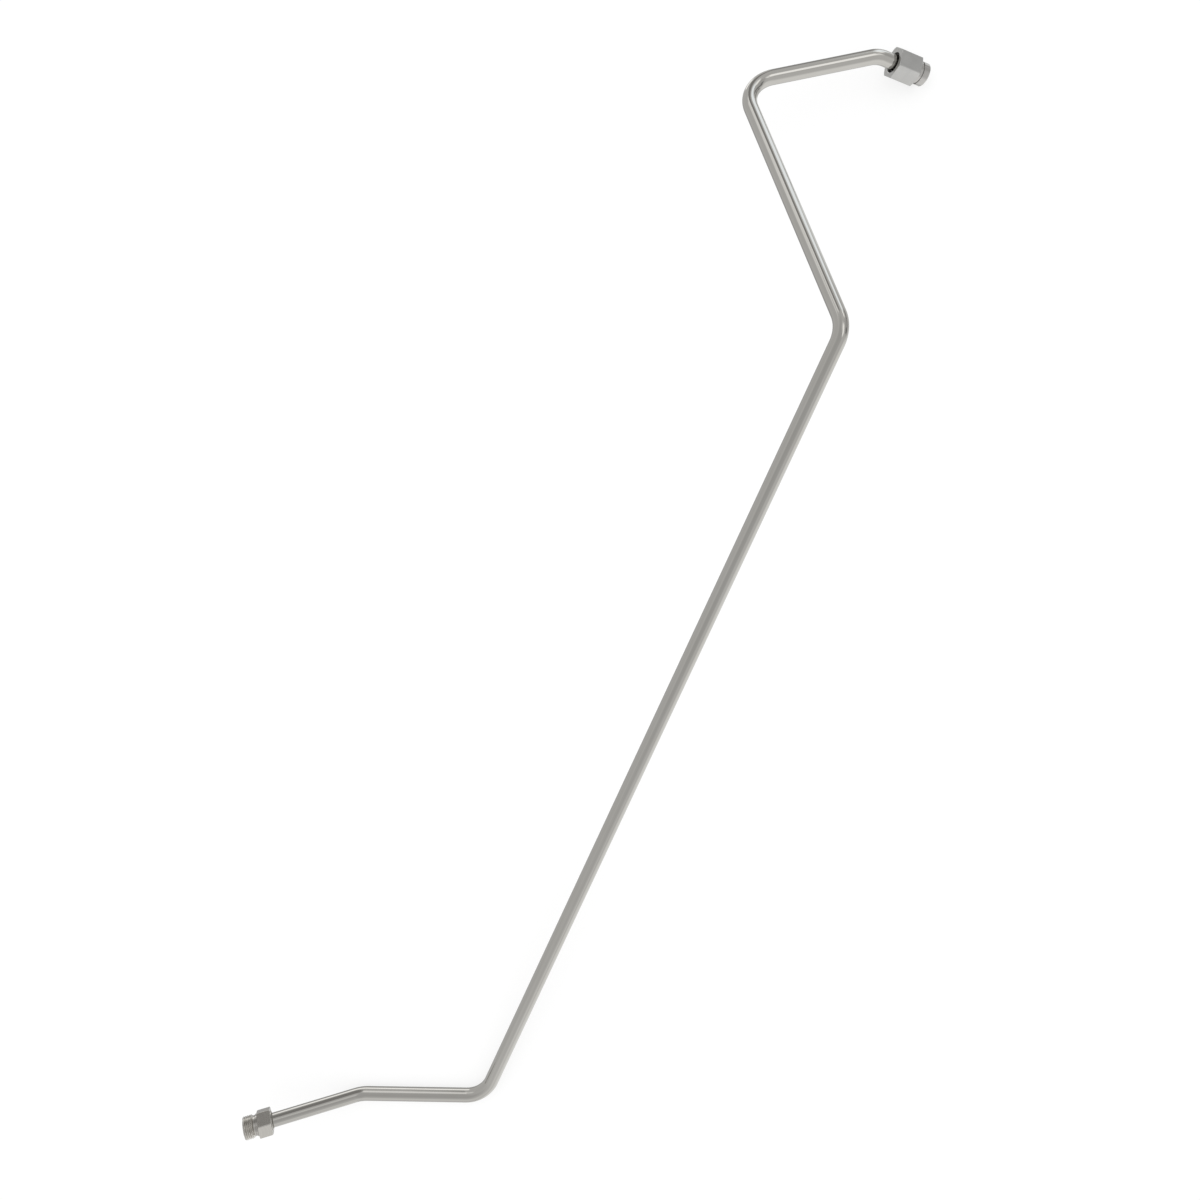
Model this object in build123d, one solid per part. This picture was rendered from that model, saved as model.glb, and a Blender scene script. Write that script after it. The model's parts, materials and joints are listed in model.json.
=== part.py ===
from build123d import *
import math
import os

# Power steering oil line: a bent steel tube with a male face-seal connector
# brazed on one end, and on the other a brazed flat-face sleeve that carries
# a loose swivel nut. It lies on the floor z = 0 as it comes to rest, with +X
# along the long run's plan and the origin under its middle. Millimetres.

# Tube, with its bend radius to the centreline
TUBE_OD = 12.7
TUBE_WALL = 1.24
BEND_RADIUS = 28.6

# Runs of the line, corner to corner, from the connector's face to the sleeve's
CONNECTOR_RUN = 106.4
FLOOR_RUN = 117.7
LONG_RUN = 751.7
UPPER_RUN = 257.8
TOP_RUN = 126.0
SLEEVE_RUN = 49.4

# Turn at each corner in degrees, and roll of the bend plane along each run between
CONNECTOR_TURN = 23.6
FLOOR_TURN = 63.5
LONG_TURN = 50.7
UPPER_TURN = 90.6
TOP_TURN = 27.8
FLOOR_ROLL = -100.6
LONG_ROLL = -36.9
UPPER_ROLL = -139.0
TOP_ROLL = 55.5

# Braze joints of the tube in its two sockets
BRAZE_GAP = 0.05
FILLET_LEG = 0.9
FILLET_GAP = 0.02
FLOW_BORE_D = 9.6

# Thread of both fittings, 13/16-16, here as the blank that it is cut on
THREAD_MAJOR_D = 20.64
THREAD_MINOR_D = 19.3
THREAD_CHAMFER = 0.9

# Male connector, lengths along its axis from the sealing face
THREAD_LENGTH = 9.0
UNDERCUT_D = 17.8
UNDERCUT_LENGTH = 2.2
COLLAR_D = 19.2
COLLAR_LENGTH = 1.5
CONNECTOR_HEX = 22.2
CONNECTOR_HEX_LENGTH = 11.6
CONNECTOR_HEX_TURN = 8.5
CONNECTOR_HEX_FACE = 24.2
CONNECTOR_BOSS_D = 17.0
CONNECTOR_BOSS_LENGTH = 0.8
CONNECTOR_SOCKET_DEPTH = 10.0

# O-ring of the sealing face, its round section drawn with flats, and its groove
RING_SECTION = 1.78
RING_FLATS = 8
RING_INNER_D = 12.42
GROOVE_DEPTH = 1.35
GROOVE_PLAY = 0.2
RING_SEAT_GAP = 0.02

# Sleeve, lengths along its axis from the flat face
SLEEVE_HEAD_D = 19.0
SLEEVE_HEAD_LENGTH = 6.2
SLEEVE_GROOVE_D = 17.4
SLEEVE_GROOVE_WIDTH = 1.2
SLEEVE_COLLAR_D = 18.6
SLEEVE_SHOULDER = 12.9
SLEEVE_HUB_D = 16.0
SLEEVE_HUB_LENGTH = 5.2
SLEEVE_FACE_WALL = 3.2
SLEEVE_EDGE = 0.5

# Swivel nut, drawn back from the sleeve's face along the tube
NUT_HEX = 24.0
NUT_HEX_FACE = 25.6
NUT_LENGTH = 22.3
NUT_TURN = 31.0
NUT_DRAWN_BACK = 11.2
NUT_BACK_WALL = 3.2
NUT_HUB_PLAY = 0.3
NUT_BORE_CHAMFER = 0.5
NUT_LEAD_IN = 0.5

# Hexagon bar, its ends turned off at this angle to the end face
HEX_SIDES = 6
HEX_CHAMFER_ANGLE = 30.0

# How far a cutting profile runs past the face that it cuts
OVERRUN = 1.0

# The floor is looked for between these tilts of the floor run's bend plane
TILT_RAISED = -60.0
TILT_SUNK = 0.0
TILT_STEPS = 50

RUNS = (CONNECTOR_RUN, FLOOR_RUN, LONG_RUN, UPPER_RUN, TOP_RUN, SLEEVE_RUN)
TURNS = (CONNECTOR_TURN, FLOOR_TURN, LONG_TURN, UPPER_TURN, TOP_TURN)
ROLLS = (FLOOR_ROLL, LONG_ROLL, UPPER_ROLL, TOP_ROLL)

tube_radius = TUBE_OD / 2
tube_bore = tube_radius - TUBE_WALL
socket_radius = tube_radius + BRAZE_GAP
flow_radius = FLOW_BORE_D / 2
nut_bore = SLEEVE_HUB_D / 2 + NUT_HUB_PLAY


def turned_about(vector, axis, angle):
    """A direction turned about another one."""
    return vector.rotate(Axis((0, 0, 0), axis), angle)


def bender_corners():
    """Corners of the line as a bender makes it: feed a run, bend, roll, feed."""
    point, ahead, hinge = Vector(0, 0, 0), Vector(1, 0, 0), Vector(0, 0, 1)
    corners = [point]
    for number, run in enumerate(RUNS):
        point = point + ahead * run
        corners.append(point)
        if number < len(TURNS):
            ahead = turned_about(ahead, hinge, TURNS[number])
        if number < len(ROLLS):
            hinge = turned_about(hinge, ahead, ROLLS[number])
    return corners


def hex_corner(across_flats):
    """Distance of a hexagon's corners from its middle."""
    return across_flats / 2 / math.cos(math.pi / HEX_SIDES)


def heading(start, end):
    """Direction from one point to another."""
    return (end - start).normalized()


def rim_drop(centre, axis, radius, up):
    """Height of the lowest point of a round rim, along the direction up."""
    return centre.dot(up) - radius * math.sqrt(max(0.0, 1 - axis.dot(up) ** 2))


def floor_normal(corners):
    """Up direction with the floor run lying and the sleeve end just touching.

    The floor turns about the floor run until the lowest rim at the sleeve end
    meets it, found by halving the tilt between raised and sunk.
    """
    floor_run = heading(corners[1], corners[2])
    end_axis = heading(corners[5], corners[6])
    mouth = corners[6] - end_axis * NUT_DRAWN_BACK
    rims = ((corners[6], SLEEVE_HEAD_D / 2), (mouth, hex_corner(NUT_HEX)))
    bend_normal = floor_run.cross(heading(corners[2], corners[3])).normalized()
    raised, sunk = TILT_RAISED, TILT_SUNK
    for _ in range(TILT_STEPS):
        tilt = (raised + sunk) / 2
        up = turned_about(bend_normal, floor_run, tilt)
        drops = [rim_drop(rim - corners[1], end_axis, r, up) for rim, r in rims]
        if min(drops) + tube_radius > 0:
            raised = tilt
        else:
            sunk = tilt
    return turned_about(bend_normal, floor_run, raised)


def resting_corners():
    """Corners of the line as it lies: floor run on the floor, long run along +X."""
    corners = bender_corners()
    up = floor_normal(corners)
    long_run = corners[3] - corners[2]
    along = (long_run - up * long_run.dot(up)).normalized()
    under = corners[1] - up * tube_radius
    floor = Plane(origin=under, x_dir=along, z_dir=up)
    return [floor.to_local_coords(corner) for corner in corners]


def end_plane(face, inner):
    """Plane on a fitting's face: +Z out towards what it mates with, +X upmost."""
    out = heading(inner, face)
    upmost = Vector(0, 0, 1) - out * out.Z
    return Plane(origin=face, x_dir=upmost, z_dir=out)


def revolved(profile):
    """Solid turned about Z from a closed profile of (radius, height) points."""
    outline = Polyline(*[(radius, 0, height) for radius, height in profile], close=True)
    return revolve(make_face(outline), Axis.Z)


def hex_bar(across_flats, face_diameter, top, length, turn):
    """Hexagon from height top downwards, both ends turned off outside the face."""
    corner = hex_corner(across_flats)
    face = face_diameter / 2
    slope = (corner - face) * math.tan(math.radians(HEX_CHAMFER_ANGLE))
    bottom = top - length
    bar = extrude(RegularPolygon(corner, HEX_SIDES, rotation=turn), length)
    barrel = revolved(
        [
            (0, top),
            (face, top),
            (corner, top - slope),
            (corner, bottom + slope),
            (face, bottom),
            (0, bottom),
        ]
    )
    return Pos(0, 0, bottom) * bar & barrel


def make_tube(corners):
    """Tube between the two socket floors, its corners rounded by the bend die."""
    first = corners[0] + heading(corners[0], corners[1]) * connector_tube_end
    last = corners[6] + heading(corners[6], corners[5]) * sleeve_tube_end
    path = []
    start = first
    for before, corner, after in zip(corners, corners[1:], corners[2:]):
        back, ahead = heading(corner, before), heading(corner, after)
        half_turn = math.radians(180 - back.get_angle(ahead)) / 2
        tangent = BEND_RADIUS * math.tan(half_turn)
        bulge = BEND_RADIUS / math.cos(half_turn) - BEND_RADIUS
        bend_in, bend_out = corner + back * tangent, corner + ahead * tangent
        path.append(Line(start, bend_in))
        crown = corner + (back + ahead).normalized() * bulge
        path.append(ThreePointArc(bend_in, crown, bend_out))
        start = bend_out
    path.append(Line(start, last))
    section = Plane(origin=first, z_dir=heading(first, corners[1]))
    wall = section * (Circle(tube_radius) - Circle(tube_bore))
    return sweep(wall, path=Wire(path))


def tube_socket(floor, back):
    """What is cut from a fitting: its flow bore down to a floor, then the tube's socket."""
    return revolved(
        [
            (0, OVERRUN),
            (flow_radius, OVERRUN),
            (flow_radius, floor),
            (socket_radius, floor),
            (socket_radius, -back - OVERRUN),
            (0, -back - OVERRUN),
        ]
    )


def make_connector():
    """Male connector: threaded nose with its face groove, neck, hexagon, socket."""
    thread = THREAD_MAJOR_D / 2
    undercut = UNDERCUT_D / 2
    collar = COLLAR_D / 2
    boss = CONNECTOR_BOSS_D / 2
    run_out = thread - undercut
    neck = THREAD_LENGTH + UNDERCUT_LENGTH
    body = revolved(
        [
            (0, 0),
            (thread - THREAD_CHAMFER, 0),
            (thread, -THREAD_CHAMFER),
            (thread, -THREAD_LENGTH + run_out),
            (undercut, -THREAD_LENGTH),
            (undercut, -neck),
            (collar, -neck),
            (collar, -connector_hex_top),
            (boss, -connector_hex_top),
            (boss, -connector_back),
            (0, -connector_back),
        ]
    )
    body += hex_bar(
        CONNECTOR_HEX,
        CONNECTOR_HEX_FACE,
        -connector_hex_top,
        CONNECTOR_HEX_LENGTH,
        CONNECTOR_HEX_TURN,
    )
    cut = tube_socket(CONNECTOR_SOCKET_DEPTH - connector_back, connector_back)
    groove_in = RING_INNER_D / 2 - GROOVE_PLAY
    groove_out = RING_INNER_D / 2 + RING_SECTION + GROOVE_PLAY
    groove = revolved(
        [
            (groove_in, OVERRUN),
            (groove_out, OVERRUN),
            (groove_out, -GROOVE_DEPTH),
            (groove_in, -GROOVE_DEPTH),
        ]
    )
    return body - cut - groove


def make_ring():
    """O-ring on the floor of the face groove, standing a little proud of the face."""
    middle_radius = (RING_INNER_D + RING_SECTION) / 2
    height = RING_SECTION / 2 + RING_SEAT_GAP - GROOVE_DEPTH
    half_flat = math.pi / RING_FLATS
    corner = RING_SECTION / 2 / math.cos(half_flat)
    turns = [half_flat * (2 * number + 1) for number in range(RING_FLATS)]
    return revolved(
        [
            (middle_radius + corner * math.cos(turn), height + corner * math.sin(turn))
            for turn in turns
        ]
    )


def make_fillet(back):
    """Braze fillet: a ring in the corner of a back face and the tube."""
    seat = -back - FILLET_GAP
    inner = tube_radius + FILLET_GAP
    return revolved([(inner, seat), (inner + FILLET_LEG, seat), (inner, seat - FILLET_LEG)])


def make_sleeve():
    """Sleeve: flat-faced head, groove, collar with the nut's shoulder, and hub."""
    head = SLEEVE_HEAD_D / 2
    groove = SLEEVE_GROOVE_D / 2
    collar = SLEEVE_COLLAR_D / 2
    hub = SLEEVE_HUB_D / 2
    groove_back = SLEEVE_HEAD_LENGTH + SLEEVE_GROOVE_WIDTH
    body = revolved(
        [
            (0, 0),
            (head - SLEEVE_EDGE, 0),
            (head, -SLEEVE_EDGE),
            (head, -SLEEVE_HEAD_LENGTH),
            (groove, -SLEEVE_HEAD_LENGTH),
            (groove, -groove_back),
            (collar, -groove_back),
            (collar, -SLEEVE_SHOULDER),
            (hub, -SLEEVE_SHOULDER),
            (hub, -sleeve_back),
            (0, -sleeve_back),
        ]
    )
    return body - tube_socket(-SLEEVE_FACE_WALL, sleeve_back)


def make_nut():
    """Swivel nut: hexagon with a plain bore at the back and the thread's cavity."""
    minor = THREAD_MINOR_D / 2
    mouth = -NUT_DRAWN_BACK
    back = mouth - NUT_LENGTH
    floor = back + NUT_BACK_WALL
    nut = hex_bar(NUT_HEX, NUT_HEX_FACE, mouth, NUT_LENGTH, NUT_TURN)
    cut = revolved(
        [
            (0, mouth + OVERRUN),
            (minor + NUT_LEAD_IN, mouth + OVERRUN),
            (minor + NUT_LEAD_IN, mouth),
            (minor, mouth - NUT_LEAD_IN),
            (minor, floor),
            (nut_bore, floor),
            (nut_bore, back + NUT_BORE_CHAMFER),
            (nut_bore + NUT_BORE_CHAMFER, back),
            (nut_bore + NUT_BORE_CHAMFER, back - OVERRUN),
            (0, back - OVERRUN),
        ]
    )
    return nut - cut


connector_hex_top = THREAD_LENGTH + UNDERCUT_LENGTH + COLLAR_LENGTH
connector_back = connector_hex_top + CONNECTOR_HEX_LENGTH + CONNECTOR_BOSS_LENGTH
connector_tube_end = connector_back - CONNECTOR_SOCKET_DEPTH + BRAZE_GAP
sleeve_back = SLEEVE_SHOULDER + SLEEVE_HUB_LENGTH
sleeve_tube_end = SLEEVE_FACE_WALL + BRAZE_GAP

corners = resting_corners()
connector_plane = end_plane(corners[0], corners[1])
sleeve_plane = end_plane(corners[6], corners[5])

pieces = {
    "steel_tube": make_tube(corners),
    "male_connector": connector_plane * make_connector(),
    "face_seal_ring": connector_plane * make_ring(),
    "connector_braze": connector_plane * make_fillet(connector_back),
    "flat_face_sleeve": sleeve_plane * make_sleeve(),
    "sleeve_braze": sleeve_plane * make_fillet(sleeve_back),
    "swivel_nut": sleeve_plane * make_nut(),
}

box = Compound([piece.solid() for piece in pieces.values()]).bounding_box()
middle = box.center()
to_origin = Pos(-middle.X, -middle.Y, 0)

os.makedirs("parts", exist_ok=True)
for name, piece in pieces.items():
    placed = to_origin * piece
    placed.label = name
    export_step(placed, f"parts/{name}.step")
    print(name, round(placed.volume), "cubic mm")
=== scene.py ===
# %% [markdown]
# # A steel oil line lying on a pale floor
#
# The object is one bent steel tube with a fitting brazed on each end: a male
# connector with a thread and an O-ring face at one end, and at the other a
# flat-faced sleeve with a loose hexagonal nut behind it. The engineering model
# already holds every piece at its true size, and it comes in as a frame that
# is never moved. This file gives each piece a fine surface and its finish.

import json
import math

import bmesh
import bpy
import numpy as np
from mathutils import Matrix, Vector


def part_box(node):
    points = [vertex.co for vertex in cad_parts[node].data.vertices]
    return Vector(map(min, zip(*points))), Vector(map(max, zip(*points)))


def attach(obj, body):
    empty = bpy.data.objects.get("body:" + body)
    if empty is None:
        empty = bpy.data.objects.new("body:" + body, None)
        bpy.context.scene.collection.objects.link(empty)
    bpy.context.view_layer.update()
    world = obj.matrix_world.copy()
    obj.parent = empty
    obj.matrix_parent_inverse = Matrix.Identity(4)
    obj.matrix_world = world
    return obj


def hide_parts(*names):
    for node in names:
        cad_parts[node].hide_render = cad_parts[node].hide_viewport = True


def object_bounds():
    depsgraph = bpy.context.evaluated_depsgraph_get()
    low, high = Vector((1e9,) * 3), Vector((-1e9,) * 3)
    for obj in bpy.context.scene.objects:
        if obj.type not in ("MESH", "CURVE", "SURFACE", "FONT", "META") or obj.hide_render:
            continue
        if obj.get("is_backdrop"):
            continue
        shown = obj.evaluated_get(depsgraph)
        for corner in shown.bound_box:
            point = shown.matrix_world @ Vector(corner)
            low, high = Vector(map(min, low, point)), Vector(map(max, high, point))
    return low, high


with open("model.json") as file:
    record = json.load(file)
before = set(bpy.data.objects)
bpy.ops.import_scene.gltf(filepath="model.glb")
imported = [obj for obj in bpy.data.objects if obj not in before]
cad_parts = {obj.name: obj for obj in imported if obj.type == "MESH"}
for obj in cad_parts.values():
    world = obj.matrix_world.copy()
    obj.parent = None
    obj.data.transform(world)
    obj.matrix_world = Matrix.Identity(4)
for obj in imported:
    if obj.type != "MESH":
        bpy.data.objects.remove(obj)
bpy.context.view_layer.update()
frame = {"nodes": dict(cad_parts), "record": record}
MM = 0.001
mounts = {mount["name"]: mount for mount in frame["record"]["mounts"]}
print("nodes", sorted(frame["nodes"]))

# %% [markdown]
# ## Where the fittings stand
#
# Each fitting is turned about one line. The frame's mounts give a point on
# that line and its direction, so a small turning frame can be built from them:
# its third axis runs out of the fitting, towards what it mates with, and its
# first axis leans as far up as it can. A piece is then a shape in this frame,
# in millimetres, with height 0 on the sealing face.


# %% A turning frame from a mount
def turning_frame(face, axis):
    """Origin and three unit axes as rows: the upmost one, the side one, and outwards."""
    out = np.array(axis, float) / np.linalg.norm(axis)
    upmost = np.array([0.0, 0.0, 1.0]) - out * out[2]
    upmost /= np.linalg.norm(upmost)
    return np.array(face, float) / MM, np.array([upmost, np.cross(out, upmost), out])


connector_face = mounts["connector_seal_face"]
sleeve_port = mounts["sleeve_flow_port"]
sleeve_out = np.array(sleeve_port["axis"])
sleeve_face = np.array(sleeve_port["pos_m"]) + sleeve_out * sleeve_port["dims"]["length_mm"] / 2 * MM
connector_frame = turning_frame(connector_face["pos_m"], connector_face["axis"])
sleeve_frame = turning_frame(sleeve_face, sleeve_out)
print("connector face at", connector_frame[0].round(1), "sleeve face at", sleeve_frame[0].round(1))

# %% [markdown]
# ## Surfaces from whole arrays
#
# Every metal surface here is a grid: rows are stations along a profile or a
# path, columns go round the axis. Numpy works out all points at once, and the
# grid's quads follow from the row and column numbers alone. Both directions
# close on themselves, so each piece is one watertight skin with no seam. Where
# rows follow a thread's helix, a row meets another row when it has gone once
# round, and rows that end together are merged. The sign of the enclosed volume
# tells whether the faces look outwards.

# %% Turn a closed grid into a mesh
# Points that lie nearer than this, in millimetres, become one.
MERGE_WITHIN = 0.001
# An edge whose faces meet at more than this angle, in degrees, stays sharp.
SHARP_ANGLE = 28


def grid_quads(rows, columns, meets):
    """Four corner numbers of every quad of a grid that closes in both directions.

    meets[row] is the row found in column 0 on going on from the last column.
    """
    row, column = np.meshgrid(np.arange(rows), np.arange(columns), indexing="ij")
    next_row, next_column = (row + 1) % rows, (column + 1) % columns
    over, over_next = (np.where(next_column == 0, meets[r], r) for r in (row, next_row))
    corners = [(row, column), (over, next_column), (over_next, next_column), (next_row, column)]
    return np.stack([r * columns + c for r, c in corners], -1).reshape(-1, 4)


def merge_doubles(mesh):
    """Join points that lie on each other; faces that had no area go with them."""
    work = bmesh.new()
    work.from_mesh(mesh)
    bmesh.ops.remove_doubles(work, verts=work.verts, dist=MERGE_WITHIN * MM)
    work.to_mesh(mesh)
    work.free()


def enclosed_volume(points, quads):
    """Sum of the pyramids from the origin to each quad, in the points' own units."""
    a, b, c, d = (points[quads[:, k]] for k in range(4))
    return float(((np.cross(a, b) * c).sum() + (np.cross(a, c) * d).sum()) / 6)


def skin(name, grid, straight, wear_and_shade=None, meets=None):
    """Mesh object from a closed grid in millimetres.

    straight holds where each point lay on the straight bar: its distance
    along, then across twice. Patterns are drawn on those numbers, so they run
    round a bend without a seam. The wear and shade mark is 1 on an edge that
    handling polishes and -1 in a corner, where shade is painted into the colour.
    """
    rows, columns = grid.shape[:2]
    points = grid.reshape(-1, 3)
    quads = grid_quads(rows, columns, np.arange(rows) if meets is None else meets)
    volume = enclosed_volume(points - points.mean(0), quads)
    if volume < 0:
        quads = quads[:, ::-1].copy()
    mesh = bpy.data.meshes.new(name)
    mesh.from_pydata((points * MM).tolist(), [], quads.tolist())
    bar = mesh.attributes.new("straight", "FLOAT_VECTOR", "POINT")
    bar.data.foreach_set("vector", (straight * MM).astype(np.float32).ravel())
    edge = mesh.attributes.new("wear_and_shade", "FLOAT", "POINT")
    values = np.zeros(len(points)) if wear_and_shade is None else wear_and_shade.reshape(-1)
    edge.data.foreach_set("value", values.astype(np.float32))
    if meets is not None:
        merge_doubles(mesh)
    mesh.shade_smooth()
    mesh.set_sharp_from_angle(angle=math.radians(SHARP_ANGLE))
    piece = bpy.data.objects.new(name, mesh)
    bpy.context.scene.collection.objects.link(piece)
    print(name, len(mesh.polygons), "faces,", round(abs(volume)), "cubic mm")
    return piece


# %% [markdown]
# ## The bent tube
#
# A bender feeds the tube straight on, bends it round one die, rolls it and
# feeds it on again, so the line is known from its run lengths, turns and
# rolls. The same bench table is walked here, starting on the connector's
# face. One angle is free, the roll of the first bend, and the place of the
# sleeve's face settles it. A sweep modifier along a curve would do, but its
# rings twist at the bends; carrying one radial direction along by the same
# turns keeps the drawn grain straight.

# %% The bench table
TUBE_OD = 12.7
TUBE_WALL = 1.24
BEND_RADIUS = 28.6
RUNS = (106.4, 117.7, 751.7, 257.8, 126.0, 49.4)
TURNS = (23.6, 63.5, 50.7, 90.6, 27.8)
ROLLS = (-100.6, -36.9, -139.0, 55.5)
# The tube's ends stand this far behind the two faces, just off the sockets' floors.
CONNECTOR_TUBE_END = 15.15
SLEEVE_TUBE_END = 3.25
# Stations in each bend, and points round the tube.
BEND_STATIONS = 33
ROUND = 96


def turned(vector, axis, angle):
    """Vector turned about a unit axis: its part along stays, the rest swings round."""
    swing = vector * np.cos(angle) + np.cross(axis, vector) * np.sin(angle)
    return swing + axis * (vector @ axis) * (1 - np.cos(angle))


def walk_line(start, ahead, hinge):
    """Corners, and the direction and bend axis after each, as a bender makes them."""
    steps = []
    corner = start
    for number, run in enumerate(RUNS):
        corner = corner + ahead * run
        if number == len(TURNS):
            steps.append((corner, ahead, ahead, hinge))
            break
        turn = math.radians(TURNS[number])
        left = turned(ahead, hinge, turn)
        steps.append((corner, ahead, left, hinge))
        ahead = left
        if number < len(ROLLS):
            hinge = turned(hinge, ahead, math.radians(ROLLS[number]))
    return steps


def settled_line():
    """The walk whose last corner lands on the sleeve's face.

    A trial walk ends somewhere on a circle about the connector's axis. The
    angle on that circle to the real face is the roll that was missing.
    """
    start, (first_hinge, _, out) = connector_frame
    ahead = -out
    reach = walk_line(start, ahead, first_hinge)[-1][0] - start
    target = sleeve_frame[0] - start
    reach, target = (v - ahead * (v @ ahead) for v in (reach, target))
    roll = math.atan2(np.cross(reach, target) @ ahead, reach @ target)
    return walk_line(start, ahead, turned(first_hinge, ahead, roll))


line = settled_line()
print("line ends", round(np.linalg.norm(line[-1][0] - sleeve_frame[0]), 3), "mm from the sleeve's face")


# %% Stations along the tube
def tube_stations():
    """Centre, radial direction and length of each station between the socket floors."""
    start, (radial, _, out) = connector_frame
    centres = [start - out * CONNECTOR_TUBE_END]
    radials = [radial]
    for corner, ahead, left, hinge in line[:-1]:
        turn = math.acos(ahead @ left)
        tangent = BEND_RADIUS * math.tan(turn / 2)
        first = corner - ahead * tangent
        inward = np.cross(hinge, ahead)
        middle = first + inward * BEND_RADIUS
        arrived = radials[-1]
        for angle in np.linspace(0, turn, BEND_STATIONS):
            centres.append(middle + turned(first - middle, hinge, angle))
            radials.append(turned(arrived, hinge, angle))
    centres.append(line[-1][0] - line[-1][1] * SLEEVE_TUBE_END)
    radials.append(radials[-1])
    centres, radials = np.array(centres), np.array(radials)
    steps = np.linalg.norm(np.diff(centres, axis=0), axis=1)
    return centres, radials, np.concatenate([[0.0], np.cumsum(steps)])


def tube_directions(centres):
    """Unit direction at each station: the mean of the steps before and after it."""
    steps = np.diff(centres, axis=0)
    steps /= np.linalg.norm(steps, axis=1, keepdims=True)
    both = np.vstack([steps[:1], steps[:-1] + steps[1:], steps[-1:]])
    return both / np.linalg.norm(both, axis=1, keepdims=True)


def tube_piece():
    """Outer wall out, inner wall back: centre plus radius times a turned radial."""
    centres, radials, length = tube_stations()
    directions = tube_directions(centres)
    radials = radials - directions * (radials * directions).sum(1, keepdims=True)
    radials /= np.linalg.norm(radials, axis=1, keepdims=True)
    sides = np.cross(directions, radials)
    angle = np.linspace(0, 2 * np.pi, ROUND, endpoint=False)[None, :, None]
    ring = radials[:, None] * np.cos(angle) + sides[:, None] * np.sin(angle)
    outer = centres[:, None] + ring * TUBE_OD / 2
    inner = centres[:, None] + ring * (TUBE_OD / 2 - TUBE_WALL)
    grid = np.concatenate([outer, inner[::-1]])
    along = np.concatenate([length, length[::-1]])[:, None, None] * np.ones((1, ROUND, 1))
    across = np.concatenate([np.cos(angle), np.sin(angle)], -1) * TUBE_OD / 2
    straight = np.concatenate([along, across * np.ones((len(grid), 1, 1))], -1)
    print("tube length", round(length[-1]), "mm")
    return skin("bent_tube", grid, straight)


bent_tube = tube_piece()

# %% [markdown]
# ## Turned fittings
#
# A lathe part is a profile carried round an axis, and a hexagon or a thread
# only changes the radius as the angle goes round. So one helper makes all the
# fittings: it takes stations, each a radius and a height in millimetres. The
# radius may be a number or an array with one value per angle, and so may the
# height. The hexagon's radius is its flat's distance over the cosine of the
# angle from the flat's middle, cut off by the cone of the chamfer.

# %% Lathe helper
COLUMNS = 360
angles = np.linspace(0, 2 * np.pi, COLUMNS, endpoint=False)


def station(radius, height, wear_and_shade=0.0):
    """One row of a turned piece: radius, height and the mark of wear and painted shade at every angle."""
    return np.stack([np.broadcast_to(v, angles.shape) for v in (radius, height, wear_and_shade)])


def blend_rows(first, last, count):
    """Rows in even steps from one station towards another, the last left out."""
    share = np.linspace(0, 1, count, endpoint=False)[:, None, None]
    return list(first * (1 - share) + last * share)


def turned_piece(name, place, rows, meets=None):
    """Closed skin of stations carried round the frame's outward axis.

    point = origin + radius * (cos * upmost + sin * side) + height * outwards
    """
    origin, (upmost, side, out) = place
    radius, height, wear_and_shade = (np.array([row[k] for row in rows]) for k in range(3))
    up_part, side_part = radius * np.cos(angles), radius * np.sin(angles)
    grid = origin + up_part[..., None] * upmost + side_part[..., None] * side + height[..., None] * out
    steps = (np.diff(part, axis=0, prepend=part[:1]) for part in (radius, height))
    along = np.cumsum(np.hypot(*steps), axis=0)
    return skin(name, grid, np.stack([along, up_part, side_part], -1), wear_and_shade, meets)


# %% Profiles with eased corners
# In millimetres: how far a corner is cut back, and how far its rub reaches.
EDGE = 0.12
FADE = 0.45
# A short side gives up no more than these shares of itself to them.
EDGE_SHARE = 0.3
FADE_SHARE = 0.45
# A profile that goes on into other rows ends with a point this far on.
RUN_ON = 1.0


def corner_rows(points, plain=0.0):
    """Stations of a profile of (radius, height) points, each corner eased by EDGE.

    A corner is replaced by two stations, EDGE before it and EDGE after it. The
    sign of the cross product of the two reaches tells an outer corner, which
    gets 1 and is polished, from an inner one, which gets -1 and is darkened
    with painted shade. FADE from the corner the mark is back at the plain value
    of wide faces.
    The first and last points only tell which way the profile runs.
    """
    points = [np.array(p, float) for p in points]
    rows = []
    for before, corner, after in zip(points, points[1:], points[2:]):
        wear_and_shade = -np.sign(np.cross(corner - before, after - corner))
        for other, order in ((before, 1), (after, -1)):
            reach = other - corner
            length = np.linalg.norm(reach)
            faded = min(FADE, FADE_SHARE * length)
            eased = min(EDGE, EDGE_SHARE * length)
            for step, value in ((faded, plain), (eased, wear_and_shade))[::order]:
                radius, height = corner + reach / length * step
                rows.append(station(radius, height, value))
    return rows


# %% Hexagons
# In millimetres: what rounding takes off a corner, and how softly it begins.
HEX_ROUNDING = 0.14
HEX_SOFTNESS = 0.06
# How far the cone that turns off the ends falls for each millimetre outwards.
CONE_SLOPE = math.tan(math.radians(30))
# Rows on the cone; where they end and the plain side begins, as shares of its depth.
CONE_ROWS = 26
CONE_REACH = 1.08
SIDE_START = 1.1
SIDE_ROWS = 6
# The cone's first row lies this share of EDGE under the face.
CONE_START = 0.7
# Rub of the face's rim, and the distance over which a corner line's rub fades.
RIM_RUB = 0.6
LINE_FADE = 0.25
# The hexagon's end face starts this far outside the collar or bore it leaves.
FACE_START = 0.6


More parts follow.
